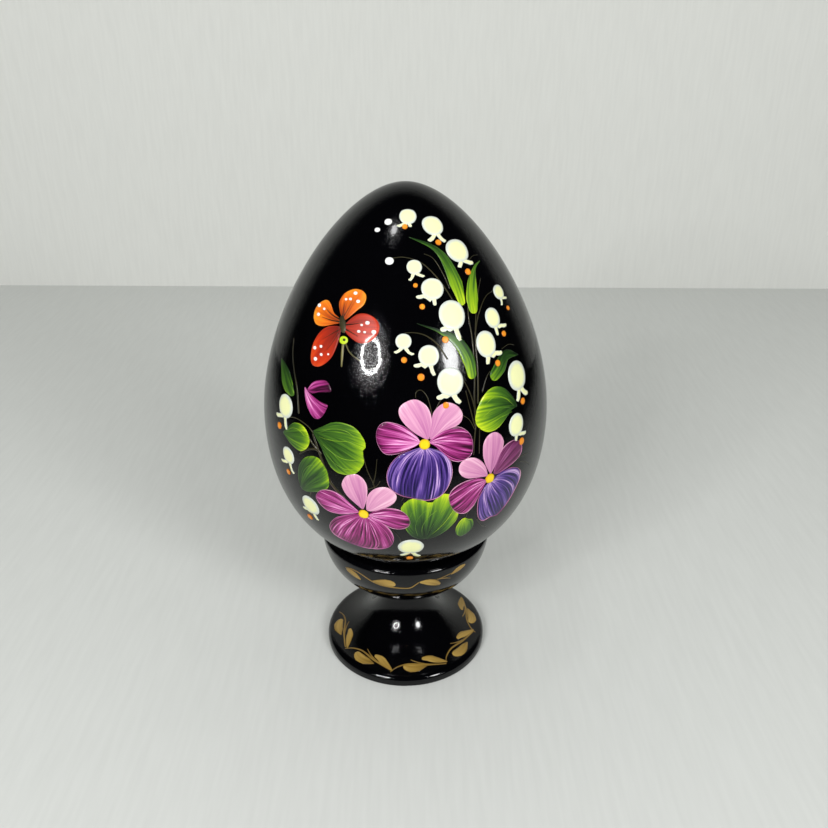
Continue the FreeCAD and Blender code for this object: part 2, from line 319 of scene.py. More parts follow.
class Nodes:
    """Short hand for building a material's node tree."""

    def __init__(self, name):
        self.material = bpy.data.materials.new(name)
        self.material.use_nodes = True
        self.tree = self.material.node_tree
        self.shader = self.tree.nodes["Principled BSDF"]

    def add(self, kind, **values):
        node = self.tree.nodes.new(kind)
        for name, value in values.items():
            if name in node.bl_rna.properties:
                setattr(node, name, value)
            else:
                node.inputs[name.replace("_", " ")].default_value = value
        return node

    def link(self, start, end):
        self.tree.links.new(start, end)

    def math(self, operation, *values, clamp=False):
        node = self.add("ShaderNodeMath", operation=operation, use_clamp=clamp)
        for socket, value in zip(node.inputs, values):
            if isinstance(value, (int, float)):
                socket.default_value = value
            else:
                self.link(value, socket)
        return node.outputs[0]

    def noise(self, vector, scale, detail=2.0, roughness=0.5):
        node = self.add("ShaderNodeTexNoise", Scale=scale, Detail=detail, Roughness=roughness)
        self.link(vector, node.inputs["Vector"])
        return node.outputs["Fac"]

    def stretch(self, vector, scale):
        node = self.add("ShaderNodeMapping")
        node.inputs["Scale"].default_value = scale
        self.link(vector, node.inputs["Vector"])
        return node.outputs["Vector"]

    def ramp(self, factor, stops):
        node = self.add("ShaderNodeValToRGB")
        elements = node.color_ramp.elements
        while len(elements) < len(stops):
            elements.new(0.5)
        for element, (position, colour) in zip(elements, stops):
            element.position, element.color = position, colour
        self.link(factor, node.inputs["Fac"])
        return node.outputs["Color"]

    def bump(self, height, strength, distance, normal=None):
        node = self.add("ShaderNodeBump", Strength=strength, Distance=distance)
        self.link(height, node.inputs["Height"])
        if normal:
            self.link(normal, node.inputs["Normal"])
        return node.outputs["Normal"]

    def set(self, **values):
        for name, value in values.items():
            self.shader.inputs[name.replace("_", " ")].default_value = value


LACQUER_TINT = srgb(2, 2, 3)
# Noise cells per metre in the lacquer's grain, ripple, dust, rubbing and clouding.
GRAIN, PEEL, DUST, RUBBED, CLOUD = 5200, 230, 2200, 1600, 60
# Heights of its bumps, in metres.
GRAIN_RELIEF, PEEL_RELIEF, DUST_RELIEF = 0.00002, 0.000003, 0.000006


def lacquer(name):
    """Black gloss lacquer: a clear mirror coat with a faint ripple over a finely grained
    base, whose grain scatters a speckled halo about each highlight."""
    nodes = Nodes(name)
    place = nodes.add("ShaderNodeTexCoord").outputs["Object"]
    grain = nodes.noise(place, GRAIN, detail=1.0)
    peel = nodes.noise(place, PEEL, detail=2.0)
    dust = nodes.noise(place, DUST, detail=2.0)
    rubbed = nodes.noise(nodes.stretch(place, (1.0, 1.0, 4.0)), RUBBED, detail=4.0, roughness=0.7)
    cloud = nodes.noise(place, CLOUD, detail=3.0)
    tint = nodes.ramp(cloud, [(0.35, LACQUER_TINT), (0.7, lighter(LACQUER_TINT, 1.8))])
    nodes.link(tint, nodes.shader.inputs["Base Color"])
    nodes.link(nodes.math("MULTIPLY_ADD", rubbed, 0.08, 0.02), nodes.shader.inputs["Roughness"])
    nodes.link(nodes.bump(grain, 1.0, GRAIN_RELIEF), nodes.shader.inputs["Normal"])
    skin = nodes.bump(dust, 1.0, DUST_RELIEF, nodes.bump(peel, 1.0, PEEL_RELIEF))
    nodes.link(skin, nodes.shader.inputs["Coat Normal"])
    nodes.set(Coat_Weight=1.0, Coat_Roughness=0.045, Coat_IOR=1.4, IOR=1.3)
    return nodes.material


# The streaks' pitches along and across a stroke, as shares of the fine ones' pitch across it.
FINE_LENGTHWISE = 0.045
WIDE_LENGTHWISE, WIDE_ACROSS = 0.03, 0.3
FINE_SWING, WIDE_SWING = 5, 3    # how strongly streak and broad act on the colour
BRISTLE_RELIEF = 0.00003         # height of the bristles' marks, in metres


def brush_paint(name, stops, streak=0.5, broad=0.25, edge=0.0, gloss=0.32, relief=0.5, pitch=2.6):
    """Oil paint laid with a loaded brush: streaks run along each dab's own strokes.

    stops is the colour from shade to light, in screen values; streak, broad and edge say how far fine
    streaks, wide streaks and the dab's rim move along it; pitch is streaks per mm.
    """
    nodes = Nodes(name)
    uv = nodes.add("ShaderNodeUVMap", uv_map="strokes").outputs["UV"]
    tone = nodes.add("ShaderNodeAttribute", attribute_name="tone").outputs["Fac"]
    rim = nodes.add("ShaderNodeAttribute", attribute_name="edge").outputs["Fac"]
    fine_place = nodes.stretch(uv, (pitch, pitch * FINE_LENGTHWISE, 1))
    wide_place = nodes.stretch(uv, (pitch * WIDE_ACROSS, pitch * WIDE_LENGTHWISE, 1))
    fine = nodes.noise(fine_place, 1.0, detail=2.0, roughness=0.6)
    wide = nodes.noise(wide_place, 1.0, detail=1.0)
    value = nodes.math("MULTIPLY_ADD", nodes.math("SUBTRACT", fine, 0.5), streak * FINE_SWING, tone)
    value = nodes.math("MULTIPLY_ADD", nodes.math("SUBTRACT", wide, 0.5), broad * WIDE_SWING, value)
    value = nodes.math("ADD", value, nodes.math("MULTIPLY", rim, edge), clamp=True)
    colours = [(position, srgb(*colour)) for position, colour in stops]
    nodes.link(nodes.ramp(value, colours), nodes.shader.inputs["Base Color"])
    nodes.link(nodes.bump(fine, relief, BRISTLE_RELIEF), nodes.shader.inputs["Normal"])
    nodes.set(Roughness=gloss, Coat_Weight=0.6, Coat_Roughness=0.05, Coat_IOR=1.4, IOR=1.4)
    return nodes.material


PAINTS = {
    # The cream bells, and the white buds and wing dots, go grey towards each dab's rim (negative edge).
    # That grey is painted shade where the raised dab rolls over, and their darkest stops are the colour of
    # that shade.
    "cream": brush_paint(
        "bell_cream",
        [(0.0, (140, 150, 150)), (0.35, (204, 210, 200)), (0.7, (232, 234, 176)),
         (1.0, (240, 241, 186))],
        streak=0.05, broad=0.08, edge=-0.5, relief=0.35, pitch=1.2),
    "white": brush_paint(
        "bud_white",
        [(0.0, (150, 155, 155)), (0.5, (225, 227, 224)), (1.0, (244, 244, 240))],
        streak=0.05, broad=0.08, edge=-0.2, relief=0.35, pitch=1.6),
    "orange_dot": brush_paint(
        "dot_orange",
        [(0.0, (170, 82, 16)), (0.5, (228, 138, 26)), (1.0, (240, 178, 56))],
        streak=0.1, broad=0.15, edge=-0.3, relief=0.3),
    "yellow_dot": brush_paint(
        "dot_yellow",
        [(0.0, (176, 136, 10)), (0.5, (230, 196, 18)), (1.0, (244, 222, 60))],
        streak=0.08, broad=0.15, edge=-0.35, relief=0.4),
    "pink": brush_paint(
        "petal_pink",
        [(0.0, (110, 56, 96)), (0.3, (184, 112, 158)), (0.65, (208, 146, 178)), (1.0, (230, 186, 204))],
        streak=0.24, broad=0.2, edge=0.12, relief=0.5, pitch=2.2),
    "magenta": brush_paint(
        "petal_magenta",
        [(0.0, (52, 8, 36)), (0.3, (116, 24, 84)), (0.58, (160, 50, 124)), (0.8, (200, 104, 168)),
         (1.0, (232, 168, 210))],
        streak=0.52, broad=0.26, edge=-0.12, relief=0.6, pitch=2.7),
    "plum": brush_paint(
        "petal_plum",
        [(0.0, (46, 12, 38)), (0.5, (112, 38, 88)), (1.0, (176, 104, 156))],
        streak=0.42, broad=0.2, edge=-0.1, relief=0.6, pitch=2.7),
    "purple": brush_paint(
        "petal_purple",
        [(0.0, (18, 12, 56)), (0.32, (58, 36, 110)), (0.58, (94, 66, 146)), (0.78, (150, 116, 182)),
         (1.0, (204, 172, 214))],
        streak=0.56, broad=0.28, edge=-0.06, relief=0.6, pitch=2.7),
    "leaf": brush_paint(
        "leaf_green",
        [(0.0, (10, 24, 10)), (0.25, (32, 62, 22)), (0.5, (66, 108, 28)), (0.75, (124, 162, 22)),
         (1.0, (184, 206, 30))],
        streak=0.2, broad=0.14, edge=0.1, relief=0.5, pitch=2.2),
    "wing_orange": brush_paint(
        "wing_orange",
        [(0.0, (52, 20, 8)), (0.3, (160, 62, 16)), (0.65, (224, 112, 22)), (1.0, (238, 150, 34))],
        streak=0.2, broad=0.15, edge=0.08, relief=0.5, pitch=1.8),
    "wing_red": brush_paint(
        "wing_red",
        [(0.0, (48, 16, 10)), (0.35, (138, 34, 20)), (0.7, (184, 46, 15)), (1.0, (210, 72, 24))],
        streak=0.18, broad=0.15, edge=0.1, relief=0.5, pitch=1.8),
    "olive": brush_paint(
        "stem_olive",
        [(0.0, (16, 16, 10)), (0.5, (58, 54, 32)), (1.0, (112, 104, 58))],
        streak=0.2, broad=0.2, relief=0.3),
    "gilt": brush_paint(
        "gilt_scroll",
        [(0.0, (70, 50, 18)), (0.5, (136, 108, 46)), (1.0, (180, 150, 78))],
        streak=0.15, broad=0.2, edge=-0.2, gloss=0.4, relief=0.4),
}

for node in ("egg", "stand"):
    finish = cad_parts[node].data.materials
    finish.clear()
    finish.append(lacquer(node + "_black_lacquer"))

# ---------------------------------------------------------------- lily-of-the-valley bells

# A coat's number says how many coats lie between it and the lacquer.

# Each bell: body centre, body half size (mm), tips of its two feet, dot centre, dot size.
BELLS = [
    ((3.2, 100.3), (1.6, 1.7), (-7.5, 98.3), (6.5, 98.2), (0, 98.1), 0.52),
    ((26.5, 98), (2.05, 2.1), (18, 95.2), (33, 94.7), (26, 94.5), 0.58),
    ((39, 92.3), (2.45, 2.35), (34.3, 89.4), (47.3, 89.5), (40, 88), 0.62),
    ((6, 90.1), (1.4, 1.4), (2.2, 87.8), (11.8, 88.4), (6, 86.7), 0.42),
    ((15.2, 85.9), (2.1, 2), (6, 84.6), (15.3, 82.9), (8.8, 82.8), 0.52),
    ((23.2, 80.8), (2.55, 2.75), (16.2, 78.5), (25.5, 76.4), (18, 76.6), 0.62),
    ((-0.3, 76.7), (1.45, 1.4), (-4.2, 74.8), (4.2, 74.5), (0, 73.4), 0.55),
    ((10.2, 74), (1.9, 1.95), (3.8, 72.4), (12.5, 70.7), (6.6, 70.3), 0.66),
    ((18.2, 69), (2.5, 2.65), (12.2, 66.5), (21.8, 65.3), (15.6, 64.9), 0.62),
    ((57, 82.5), (1.6, 1.45), (54.5, 80.2), (62, 80.9), (59.2, 79), 0.45),
    ((45.3, 78.6), (1.85, 1.95), (45, 75.3), (53, 76.5), (49.2, 75.1), 0.56),
    ((37.3, 74.4), (2.25, 2.5), (35.2, 71), (45, 72.1), (41, 70.4), 0.62),
    ((50.8, 66.6), (2.75, 2.9), (47.8, 62.3), (55.8, 62.6), (51.5, 61.4), 0.66),
    ((46.2, 57.5), (2.15, 2.3), (45, 54.2), (52, 55), (49, 53.5), 0.78),
    ((-51.7, 60.1), (2.4, 2.35), (-58, 57.4), (-49.2, 56), (-55, 55.4), 0.7),
    ((-49, 50.2), (1.9, 1.8), (-54.8, 48), (-46.2, 46.8), (-50.3, 46.1), 0.62),
    ((-40, 40.2), (2.3, 2.35), (-46, 38.3), (-37.8, 36.6), (-43.5, 36), 0.72),
    ((2.8, 33.1), (2.6, 2.6), (-2, 29.8), (7.5, 29.2), (2.5, 28), 0.7),
]

# The three last buds of the spray are plain white touches.
BUDS = [((-24.5, 97.1), (0.55, 0.45)), ((-16.5, 99), (0.72, 0.66)), ((-9.8, 91.2), (0.8, 0.72))]

# Stems: places along each one, then its half widths in mm at both ends before STEM_SLIMNESS.
STEMS = [
    ([(27, 60.5), (27.3, 65), (29, 70), (30.8, 76), (31.5, 80), (33.5, 83)], (0.25, 0.12)),
    ([(28.5, 64), (30.5, 70), (32.5, 76), (37, 81), (43, 84.5), (48, 86.4)], (0.22, 0.08)),
    ([(32.5, 76.5), (37, 79.8), (45, 82.6), (53, 83.3)], (0.18, 0.08)),
    ([(27.5, 62), (26, 66), (23, 69.8)], (0.2, 0.1)),
    ([(26.5, 60), (25, 64), (24, 67)], (0.18, 0.08)),
    ([(31, 66), (34, 68.5), (36.5, 69.5)], (0.16, 0.1)),
    ([(-8, 91.8), (0, 92), (10, 91), (17, 88.8), (22, 86), (25, 83.5)], (0.1, 0.14)),
    ([(13, 92.6), (19, 91.5), (23, 88.5), (25, 85.5)], (0.08, 0.14)),
    ([(0, 78.2), (5, 78.2), (10, 77.5), (14.5, 75.8), (18, 73)], (0.1, 0.2)),
    ([(45, 90.1), (50, 90.6), (55, 90.4)], (0.1, 0.05)),
    ([(45, 72.6), (50, 72.9), (54, 72.2)], (0.1, 0.05)),
    ([(27, 60.5), (26, 57.5), (25.5, 54.5)], (0.2, 0.14)),
    ([(28.5, 60), (28, 57), (27.8, 54.5)], (0.16, 0.1)),
    ([(4.3, 66.6), (4.6, 67.7), (6.6, 68), (8.8, 66.6), (10.3, 63.5)], (0.09, 0.12)),
    ([(10.5, 63), (12.5, 65), (15, 66.8)], (0.1, 0.1)),
    ([(-56.5, 73.2), (-54, 70.5), (-50, 67.5), (-46.5, 65), (-44.5, 62.5), (-43, 60)],
     (0.14, 0.26)),
    ([(-50, 58.3), (-44, 59), (-38, 58.5), (-35, 57.5)], (0.08, 0.14)),
    ([(-35.5, 57.5), (-33, 55), (-30.5, 52), (-28, 48.5), (-24, 46), (-21.5, 44.5)],
     (0.22, 0.5)),
    ([(-42, 52), (-38, 53.6), (-34, 54.4), (-31.5, 54)], (0.18, 0.3)),
    ([(-38, 56.8), (-34.5, 55), (-31, 53.8)], (0.16, 0.3)),
    ([(-14.5, 55.5), (-13, 52.5), (-11, 50), (-10.3, 48.5)], (0.08, 0.12)),
    ([(-9.5, 55), (-10, 52), (-11, 49.5)], (0.07, 0.12)),
    ([(-8.3, 50.5), (-10, 49.2), (-13.5, 48.3)], (0.08, 0.12)),
    ([(-39.5, 42), (-37.5, 44.3), (-35, 46)], (0.12, 0.16)),
    ([(-4.5, 38.8), (-2, 36.5), (-1.2, 33.5), (-2.4, 30.8)], (0.1, 0.08)),
    ([(-1, 46.2), (1, 47.8), (5, 48.4)], (0.08, 0.1)),
    ([(26, 45), (25, 42.5), (24.2, 40.3)], (0.14, 0.12)),
    ([(29.5, 39), (32.5, 36.6), (36.5, 35)], (0.14, 0.06)),
    ([(48.5, 49.2), (53, 48), (57.5, 46.2)], (0.14, 0.06)),
    ([(44, 50), (50, 50.2), (55, 49.6)], (0.12, 0.05)),
    ([(22, 62.6), (24.5, 61.5), (26.3, 59.5)], (0.07, 0.1)),
]
STEM_SLIMNESS = 0.8    # every stem is this share of its listed width

# A foot's half widths along its stroke, as shares of the bell's half height.
FOOT_SHARES = (0.34, 0.3, 0.17, 0.19, 0.15)


def bell_foot(centre, half, tip):
    """The spine of a stroke that drops out of the bell's mouth and flicks out to its tip."""
    across, down = tip[0] - centre[0], tip[1] - centre[1]
    return [
        (centre[0] + 0.1 * across, centre[1] - 0.3 * half[1]),
        (centre[0] + 0.24 * across, centre[1] - 0.92 * half[1]),
        (centre[0] + 0.5 * across, centre[1] + 0.9 * down),
        (centre[0] + 0.76 * across, centre[1] + 1.03 * down),
        tip,
    ]


def paint_bells():
    coat = Coat("bells", EGG, ["cream", "white", "orange_dot"])
    for centre, half, left_foot, right_foot, dot, dot_size in BELLS:
        for foot in (left_foot, right_foot):
            widths = [half[1] * share for share in FOOT_SHARES]
            coat.ribbon(bell_foot(centre, half, foot), widths, "cream", layer=2, tone=(0.75, 0.6))
        coat.spot(centre, half, "cream", layer=3, tone=0.78)
        coat.spot(dot, (dot_size, dot_size), "orange_dot", layer=4, tone=0.55, count=9)
    for centre, half in BUDS:
        coat.spot(centre, half, "white", layer=2, tone=0.7, count=9)
    coat.build("egg")


def paint_stems():
    coat = Coat("stems", EGG, ["olive"])
    for places, (start, end) in STEMS:
        widths = (STEM_SLIMNESS * start, STEM_SLIMNESS * end)
        coat.ribbon(places, widths, "olive", layer=0, tone=(0.3, 0.34), columns=5)
    coat.build("egg")


# ---------------------------------------------------------------- leaves

# Broad leaves: the point that the strokes spread from, the outline, shades from that point
# to the outline, how much lighter the outline's later side is, and the tip's share.
BROAD_LEAVES = [
    ((-35.5, 57.9),
     [(-31.5, 59.3), (-26.5, 60.8), (-21.5, 61), (-17, 60.2), (-14, 58.3), (-13.6, 56.9), (-14.9, 56),
      (-14, 55), (-14.5, 53.3), (-17.5, 51.3), (-22, 50.7), (-26.5, 51.3), (-29, 53), (-31.5, 55.3)],
     (0.25, 0.3, 0.36, 0.42, 0.72), 0, 0.45),
    ((-52.5, 54.6),
     [(-49, 56.3), (-45.5, 57.9), (-41, 58.2), (-38, 57.3), (-36.6, 55.7), (-38, 53.9), (-41.5, 52.7),
      (-46, 53), (-49.5, 53.8)],
     (0.28, 0.36, 0.4, 0.48, 0.8), 0, 0.4),
    ((-43.5, 43.8),
     [(-44, 46.5), (-42.5, 49.5), (-38.5, 52), (-33.5, 52.9), (-30, 51.8), (-28.2, 49.4), (-28.8, 47),
      (-32, 45.4), (-37, 44.3), (-40.5, 43.6)],
     (0.2, 0.25, 0.3, 0.38, 0.6), 0, 0.4),
    ((8.6, 35.5),
     [(4, 36.3), (0.8, 38.6), (-0.2, 41.5), (-1.2, 44.4), (1, 46.3), (4.5, 47), (7.5, 46.4), (9.6, 45.2),
      (11.5, 46.6), (14.5, 47.4), (17.5, 46.8), (20, 44), (20.8, 41.2), (18, 38.3), (13.5, 36.3)],
     (0.1, 0.12, 0.3, 0.52, 0.78), 0, 0.62),
    ((24, 40.3),
     [(22.3, 39.8), (20.8, 38), (21.5, 36), (24, 34.6), (27, 35.3), (28.8, 37.3), (27.5, 39.3),
      (25.8, 39.6)],
     (0.85, 0.6, 0.3), -0.15, 0.34),
    ((48, 61),
     [(45.5, 63.6), (41.5, 65.7), (36.5, 66.4), (31.5, 65.4), (28, 63.3), (26.5, 61.3), (28.2, 59.5),
      (32, 58.3), (36.5, 58.4), (40.5, 59.6), (44.5, 60.9)],
     (0.1, 0.3, 0.5, 0.84), 0.1, 0.4),
    ((-62, 68.2),
     [(-58, 67.9), (-54, 67.2), (-50.5, 65.8), (-48.3, 64.3), (-47.2, 63.2), (-49, 62.6), (-53, 62.9),
      (-57, 64.2), (-59.5, 66.2)],
     (0.2, 0.3, 0.45), 0.15, 0.34),
]

# Long leaves: places along the spine from the broad end to the tip, half widths, shades, side.
LONG_LEAVES = [
    ([(30, 82.2), (29.3, 87), (26.3, 91.5), (19, 94), (3, 96)], (0.6, 1.35, 1, 0.45, 0.05),
     (0.88, 0.66, 0.4, 0.28, 0.22), 0),
    ([(34.8, 80.3), (36.5, 83), (41, 86.4), (47, 88.5), (54, 89.3)], (0.8, 1.35, 1.1, 0.4, 0.05),
     (0.8, 0.62, 0.36, 0.2), 0),
    ([(27.7, 68.8), (27.2, 72.5), (23.3, 76), (15, 78.4), (5.5, 79.9)], (0.8, 1.3, 1, 0.3, 0.05),
     (0.7, 0.4, 0.25, 0.15), -0.2),
    ([(36.3, 67.9), (41, 69.3), (47, 71.2), (55, 70.2)], (1, 1.5, 0.9, 0.05), (0.55, 0.2, 0.1), 0.1),
]

# Fine strokes of light green drawn over the broad leaves.
LEAF_LIGHTS = [
    [(3.4, 37.4), (1.9, 39.6), (2.3, 42.6), (5, 45.2)],
    [(5.4, 36.9), (4.3, 40), (6.4, 42.9), (10, 44.6)],
    [(7.2, 36.7), (6.9, 39.4), (8.8, 41.9), (12.2, 43.6)],
    [(8.9, 37), (11.4, 40.2), (14.8, 43.2), (18.2, 45.2)],
    [(10.8, 37), (14.4, 39.2), (17.2, 41.6), (19.2, 43.8)],
    [(-33, 57.9), (-27, 59.4), (-21.5, 59.6), (-17.5, 58.6)],
    [(-32.5, 57.2), (-26.5, 57.2), (-20, 57.6), (-15.2, 56.8)],
    [(-32, 56.4), (-27, 54.9), (-21.5, 54), (-15.5, 54.4)],
    [(-30.5, 54.9), (-26, 52.9), (-21.5, 52), (-17.5, 52.3)],
    [(46, 61.4), (41.5, 63.6), (36.5, 64.6), (31.5, 63.6)],
    [(45.5, 60.9), (40.5, 62), (35, 62.4), (30, 61.4)],
    [(44.5, 60.5), (40, 60.4), (35, 60.1), (30.5, 59.8)],
    [(-50.5, 54.9), (-46.5, 56.6), (-42.5, 57), (-39, 56.2)],
    [(-42.6, 45), (-40.5, 48.2), (-37, 50.4), (-33, 51.2)],
]
LIGHT_WIDTHS, LIGHT_TONE = (0.02, 0.07, 0.04, 0.07, 0.02), (0.42, 0.62, 0.72)


def paint_leaves():
    coat = Coat("leaves", EGG, ["leaf"])
    for base, outline, tone, side, tip in BROAD_LEAVES:
        coat.petal(base, outline, "leaf", 1, tone, side, tip, columns=25)
    for spine in LEAF_LIGHTS:
        coat.ribbon(spine, LIGHT_WIDTHS, "leaf", layer=2, tone=LIGHT_TONE, columns=5)
    for spine, widths, tone, side in LONG_LEAVES:
        coat.ribbon(spine, widths, "leaf", 1, tone, side, columns=11)
    coat.build("egg")


# ---------------------------------------------------------------- pansies, bud and butterfly

# Each pansy: its eye, then its petals: paint, coat, the point that the strokes spread from,
# the outline, (shade at that point, at the outline).
PANSIES = {
    "pansy_upper": ((7.3, 58), [
        ("pink", 2, (8.5, 58.7),
         [(3.5, 60.3), (-0.5, 62.3), (-2, 64.2), (-0.5, 65.6), (4, 66.4), (8, 65.3), (10, 63.3),
          (10, 60.5)],
         (0.35, 0.65)),
        ("pink", 3, (9, 58.8),
         [(9.8, 61.5), (11, 64), (15.5, 65.4), (20, 64.6), (22, 62.7), (20, 61), (15, 60.2),
          (11.5, 59.2)],
         (0.35, 0.65)),
        ("magenta", 4, (6, 58.4),
         [(2.5, 57.2), (-3, 56.2), (-7, 56.3), (-9.6, 58.5), (-9.5, 60.8), (-7, 62.1), (-2.5, 61.9),
          (1.5, 61), (4.5, 59.6)],
         (0.85, 0.35)),
        ("magenta", 4, (8.7, 58.3),
         [(11.5, 59.6), (16, 60.6), (20.5, 60.5), (24, 59), (25.2, 57), (24.5, 54.8), (21, 53.9),
          (17.5, 54.2), (14, 55.6), (11.5, 57.3)],
         (0.65, 0.3)),
        ("purple", 5, (7.3, 57.6),
         [(3.5, 57.1), (-1, 56.2), (-4.5, 54.3), (-6, 51.8), (-5, 49.3), (-1.5, 47.7), (3.5, 46.9),
          (8, 46.3), (12.5, 46.8), (15.5, 48.6), (17.2, 51.5), (16.5, 54.3), (14, 56.2), (10.5, 57)],
         (0.6, 0.35)),
    ]),
    "pansy_right": ((32.8, 48.5), [
        ("pink", 2, (33, 49.3),
         [(30.8, 51.5), (29.5, 53.8), (29.8, 56.3), (32, 57.7), (35, 57.9), (37.8, 56.9), (39, 55.2),
          (37.8, 53.2), (35, 51)],
         (0.3, 0.55)),
        ("pink", 3, (31.8, 49.2),
         [(27.5, 49.5), (23, 49.9), (20.2, 51.2), (19.8, 52.8), (21.8, 54), (25.5, 54), (28.5, 53),
          (30.8, 51.3)],
         (0.35, 0.7)),
        ("plum", 3, (34.2, 49.2),
         [(35, 51.2), (38, 53.8), (42.5, 54.7), (46.5, 54.2), (49, 52.6), (48.5, 51), (45, 50),
          (40, 49.3), (36.5, 48.9)],
         (0.5, 0.4)),
        ("magenta", 4, (31.5, 48.3),
         [(27.5, 49.4), (22.5, 49.3), (18, 48.2), (16.3, 46.3), (17.5, 44), (20, 42.3), (23.5, 41.7),
          (26.5, 43), (28.8, 45.5)],
         (0.62, 0.3)),
        ("purple", 5, (33.2, 47.6),
         [(31, 47), (28.8, 44.8), (28.8, 42), (30.2, 39.3), (33, 37.8), (36.5, 38.2), (40.5, 37.8),
          (44.5, 39.8), (48, 42.8), (50, 45.5), (48.5, 47.5), (44, 48.8), (38.5, 49)],
         (0.65, 0.35)),
    ]),
    "pansy_left": ((-15.2, 42.3), [
        ("pink", 2, (-15.2, 43.4),
         [(-18.5, 44.8), (-21.5, 46.3), (-23, 48.3), (-21.5, 50.3), (-18.5, 51.3), (-15.5, 51),
          (-13.3, 49.3), (-13.3, 46.8), (-14.2, 44.8)],
         (0.3, 0.6)),
        ("pink", 2, (-14, 43.3),
         [(-13.8, 45.5), (-12.8, 47.3), (-10, 48.8), (-6, 49.2), (-3, 48), (-2.8, 46.5), (-5, 45),
          (-8.5, 44), (-11.5, 43.3)],
         (0.5, 0.75)),
        ("magenta", 4, (-16.5, 42.6),
         [(-20.5, 41.8), (-25, 41.1), (-30.5, 41), (-34.3, 42.3), (-35.2, 43.8), (-32.5, 45.6),
          (-28.5, 46.3), (-24, 46), (-20.5, 44.6)],
         (0.6, 0.5)),
        ("magenta", 3, (-13.5, 42.3),
         [(-11, 43.3), (-6.5, 44.4), (-1.5, 44), (1.5, 42.5), (2.2, 40.5), (0, 39.3), (-4, 39.2),
          (-8, 40.3), (-11.5, 41.3)],
         (0.7, 0.35)),
        ("magenta", 4, (-14.8, 41.9),
         [(-13.5, 39), (-15, 35.5), (-14.5, 32), (-10.5, 32), (-6, 33.3), (-4.2, 36), (-5.5, 38.8),
          (-9, 40.9), (-12.5, 41.8)],
         (0.55, 0.5)),
        ("magenta", 6, (-15.4, 41.9),
         [(-18.5, 42), (-23, 41), (-28, 39.3), (-31.8, 36.5), (-31.5, 34), (-27.5, 32.8), (-22, 32),
          (-16.5, 31.6), (-12, 32.4), (-10.4, 34.6), (-11.5, 38), (-13.6, 41.2)],
         (0.5, 0.38)),
    ]),
}
PANSY_EYE = 1.02    # half size in mm
EYE_COAT = 7

# The pink line round a petal: half widths in mm and shades, as the liner brush's pressure varies.
LINER_WIDTHS = (0.01, 0.03, 0.05, 0.01, 0.03, 0.05, 0.02, 0.01)
LINER_TONE = (0.1, 0.6, 0.1, 0.7, 0.0)

# The closed bud's petals, as above.
BUD_PETALS = [
    ("magenta", 2, (-40.3, 65.2),
     [(-38.5, 66.8), (-35.5, 67.7), (-32, 68), (-29.5, 67.2), (-28.8, 66.3), (-31, 65.9), (-34.5, 65.5),
      (-37.5, 64.9)],
     (0.5, 0.1)),
    ("magenta", 3, (-41.8, 65.7),
     [(-40.8, 63.8), (-39, 62.2), (-36.5, 60.9), (-34, 60.4), (-31.5, 61.3), (-30, 62.8), (-29.8, 63.7),
      (-33, 63.9), (-36.5, 64.4), (-39.5, 65)],
     (0.7, 0.5)),
]

# The butterfly's wings, as above, then how much lighter the outline's later side is.
WINGS = [
    ("wing_orange", 2, (-29.5, 78.9),
     [(-34.5, 78.2), (-39, 77.5), (-43.5, 77.3), (-47, 78.2), (-48.2, 79.8), (-46.5, 81.3), (-42.5, 82.2),
      (-39, 81.7), (-35.5, 80.3), (-32, 79.7)],
     (0.15, 0.85), 0),
    ("wing_orange", 3, (-29, 79.3),
     [(-32, 80.6), (-34.3, 82.4), (-32.5, 84.2), (-28, 85.3), (-23, 85.3), (-20, 84.4), (-20.3, 82.8),
      (-23.5, 81.5), (-26.5, 80.2)],
     (0.15, 0.8), 0.1),
    ("wing_red", 2, (-28.5, 78.4),
     [(-26, 79.8), (-22.5, 81), (-18, 81.2), (-13.5, 80.5), (-11.2, 79.2), (-12, 77.5), (-15.5, 76.2),
      (-20, 75.9), (-24.5, 76.7), (-27, 77.4)],
     (0.3, 0.65), 0),
    ("wing_red", 3, (-29.5, 78.2),
     [(-33, 78.1), (-37.5, 77.5), (-41, 75.8), (-42.5, 73.2), (-41.5, 70.6), (-38.5, 69.9), (-34.5, 70.7),
      (-31, 72.6), (-29.5, 75.2), (-29.3, 77)],
     (0.1, 0.85), 0),
]

# White dots on the wings: longitude, along, half width in mm.
WING_DOTS = [
    (-46, 80.8, 0.45), (-42, 80.5, 0.3), (-44.5, 79.2, 0.4),
    (-30.7, 83.2, 0.3), (-28.2, 83.4, 0.32), (-26.2, 84.6, 0.4), (-23.7, 83.2, 0.4),
    (-19.6, 79.1, 0.26), (-17, 79.6, 0.42), (-20.5, 77.9, 0.32), (-17.7, 77.9, 0.26), (-13.5, 78.1, 0.45),
    (-40.8, 73.2, 0.42), (-37.6, 73.8, 0.34), (-36.5, 72.4, 0.34), (-39, 71.3, 0.45), (-33, 72.8, 0.24),
]

# Dark veins on the wings, from the body outwards.
WING_VEINS = [
    [(-30.5, 79), (-36, 78.9), (-42, 79)], [(-30.8, 79.4), (-35.5, 79.8), (-40.5, 80.6)],
    [(-30, 79.9), (-30.6, 81.4), (-30.8, 83)], [(-29.6, 79.9), (-28, 81.6), (-26.5, 83.4)],
    [(-28.3, 78.6), (-24, 79), (-19, 79.6)], [(-28.3, 78), (-24.5, 77.6), (-20.5, 77)],
    [(-30.2, 77.6), (-34, 76.4), (-38, 75)], [(-29.9, 77.2), (-32, 75.2), (-34.5, 73.2)],
]
VEIN_WIDTHS, VEIN_TONE = (0.14, 0.09, 0.04), (0.1, 0.15)
DOT_SQUASH = 0.8    # a wing dot's height, as a share of its width

